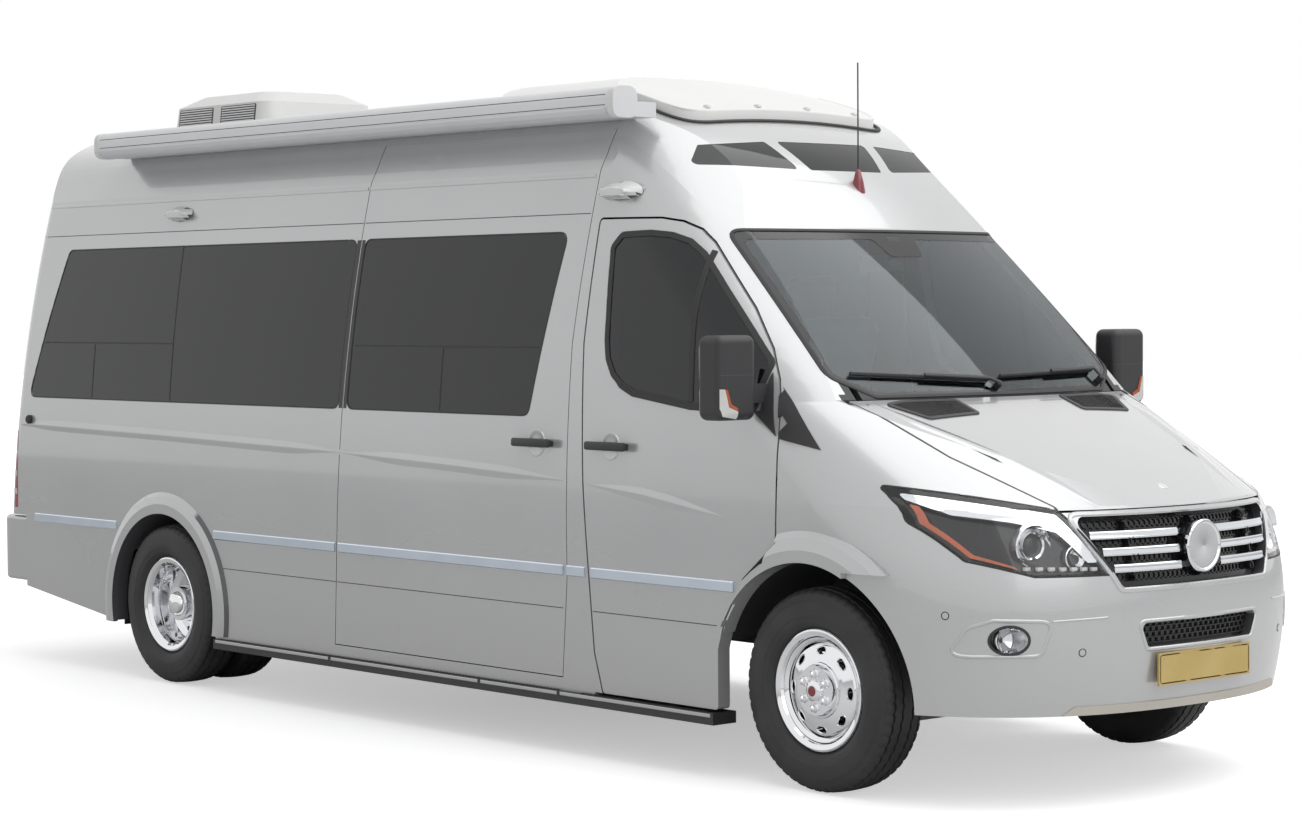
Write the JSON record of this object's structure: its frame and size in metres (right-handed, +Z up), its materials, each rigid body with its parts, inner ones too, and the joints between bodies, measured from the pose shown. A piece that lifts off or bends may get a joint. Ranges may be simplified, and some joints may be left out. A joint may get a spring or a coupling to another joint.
{
  "type": "long high-roof camper van",
  "caption": "Long high-roof camper van with hollow cab and cabin, hinged doors and bonnet, steering and twin rear wheels.",
  "frame": {"origin": "centre of the whole van's box, on the ground under the tyres", "axes": "+X ahead, +Y to the van's left, +Z up"},
  "size_m": [6.9451, 2.42, 2.8449],
  "materials": {
    "paint": "light silver metallic paint",
    "white_plastic": "smooth white housing",
    "awning_case": "satin anodised",
    "dark_glass": "dark privacy glass",
    "clear_glass": "lightly tinted windscreen glass",
    "black_plastic": "grained black",
    "dash_plastic": "pale grained dashboard",
    "seat_fabric": "grey woven seat cover",
    "chrome_rim": "bright wheel",
    "tyre_rubber": "black tyre rubber",
    "flap_rubber": "black sheet rubber",
    "steel": "dark coated steel",
    "cast": "plain casting",
    "lamp_lens": "clear lamp lens",
    "red_lens": "red and clear tail lens",
    "grille_chrome": "chrome slats on a dark mesh",
    "plate_brass": "blank gold-coloured plate"
  },
  "bodies": {
    "van_body": {"body_side_right": "paint", "body_side_left": "paint", "roof": "paint", "floor": "steel", "front_wheelhouses": "black_plastic", "chassis_frame": "steel", "fuel_tank": "steel", "front_suspension": "steel", "engine_block": "cast", "rear_axle": "cast", "fenders": "paint", "front_bumper": "paint", "headlamps": "lamp_lens", "grille": "grille_chrome", "number_plate": "plate_brass", "tail_lamps": "red_lens", "windscreen": "clear_glass", "cabin_windows": "dark_glass", "sliding_door": "paint", "cowl": "black_plastic", "dashboard": "dash_plastic", "front_seats": "seat_fabric", "rear_bumper": "paint", "wheel_arch_flares": "paint", "running_boards": "black_plastic", "mud_flaps": "flap_rubber", "small_lamps": "lamp_lens", "awning": "awning_case", "air_conditioner": "white_plastic", "roof_fairing": "white_plastic", "antenna": "black_plastic"},
    "front_door_right": {"front_door_right": "paint", "front_window_right": "dark_glass", "mirror_right": "black_plastic"},
    "front_door_left": {"front_door_left": "paint", "front_window_left": "dark_glass", "mirror_left": "black_plastic"},
    "rear_door_right": {"rear_door_right": "paint", "rear_window_right": "dark_glass"},
    "rear_door_left": {"rear_door_left": "paint", "rear_window_left": "dark_glass"},
    "bonnet": {"bonnet": "paint"},
    "knuckle_right": {"knuckle_right": "steel"},
    "knuckle_left": {"knuckle_left": "steel"},
    "front_wheel_right": {"front_rim_right": "chrome_rim", "front_tyre_right": "tyre_rubber"},
    "front_wheel_left": {"front_rim_left": "chrome_rim", "front_tyre_left": "tyre_rubber"},
    "rear_wheels_right": {"rear_rims_right": "chrome_rim", "rear_tyres_right": "tyre_rubber"},
    "rear_wheels_left": {"rear_rims_left": "chrome_rim", "rear_tyres_left": "tyre_rubber"},
    "steering_wheel": {"steering_wheel": "black_plastic"}
  },
  "joints": [
    {"name": "front_door_right_hinge", "type": "hinge", "parent": "van_body", "child": "front_door_right", "pos_m": [2.2225, -0.977, 1.045], "axis": [0, 0, 1], "range_deg": [0, 70]},
    {"name": "front_door_left_hinge", "type": "hinge", "parent": "van_body", "child": "front_door_left", "pos_m": [2.2225, 0.977, 1.045], "axis": [0, 0, -1], "range_deg": [0, 70]},
    {"name": "rear_door_right_hinge", "type": "hinge", "parent": "van_body", "child": "rear_door_right", "pos_m": [-3.3245, -0.82758, 1.5], "axis": [0.0991, 0.0937, 0.9907], "range_deg": [0, 180]},
    {"name": "rear_door_left_hinge", "type": "hinge", "parent": "van_body", "child": "rear_door_left", "pos_m": [-3.3245, 0.82758, 1.5], "axis": [-0.0991, 0.0937, -0.9907], "range_deg": [0, 180]},
    {"name": "bonnet_hinge", "type": "hinge", "parent": "van_body", "child": "bonnet", "pos_m": [2.4125, 0, 1.41], "axis": [0, -1, 0], "range_deg": [0, 50]},
    {"name": "steer_left", "type": "hinge", "parent": "van_body", "child": "knuckle_left", "pos_m": [2.4525, 0.76, 0.375], "axis": [0, 0, 1], "range_deg": [-38, 38]},
    {"name": "steer_right", "type": "hinge", "parent": "van_body", "child": "knuckle_right", "pos_m": [2.4525, -0.76, 0.375], "axis": [0, 0, 1], "range_deg": [-38, 38]},
    {"name": "steering_wheel_turn", "type": "hinge", "parent": "van_body", "child": "steering_wheel", "pos_m": [1.7525, 0.42, 1.24], "axis": [-0.6, 0, 0.8], "range_deg": [-570, 570]},
    {"name": "front_wheel_right_spin", "type": "hinge", "parent": "knuckle_right", "child": "front_wheel_right", "pos_m": [2.4525, -0.855, 0.375], "axis": [0, 1, 0], "continuous": true},
    {"name": "front_wheel_left_spin", "type": "hinge", "parent": "knuckle_left", "child": "front_wheel_left", "pos_m": [2.4525, 0.855, 0.375], "axis": [0, 1, 0], "continuous": true},
    {"name": "rear_wheels_right_spin", "type": "hinge", "parent": "van_body", "child": "rear_wheels_right", "pos_m": [-1.8725, -0.768, 0.375], "axis": [0, 1, 0], "continuous": true},
    {"name": "rear_wheels_left_spin", "type": "hinge", "parent": "van_body", "child": "rear_wheels_left", "pos_m": [-1.8725, 0.768, 0.375], "axis": [0, 1, 0], "continuous": true}
  ],
  "couplings": [
    {"joint": "steer_right", "follows": "steer_left", "ratio": 1},
    {"joint": "steering_wheel_turn", "follows": "steer_left", "ratio": 15}
  ]
}
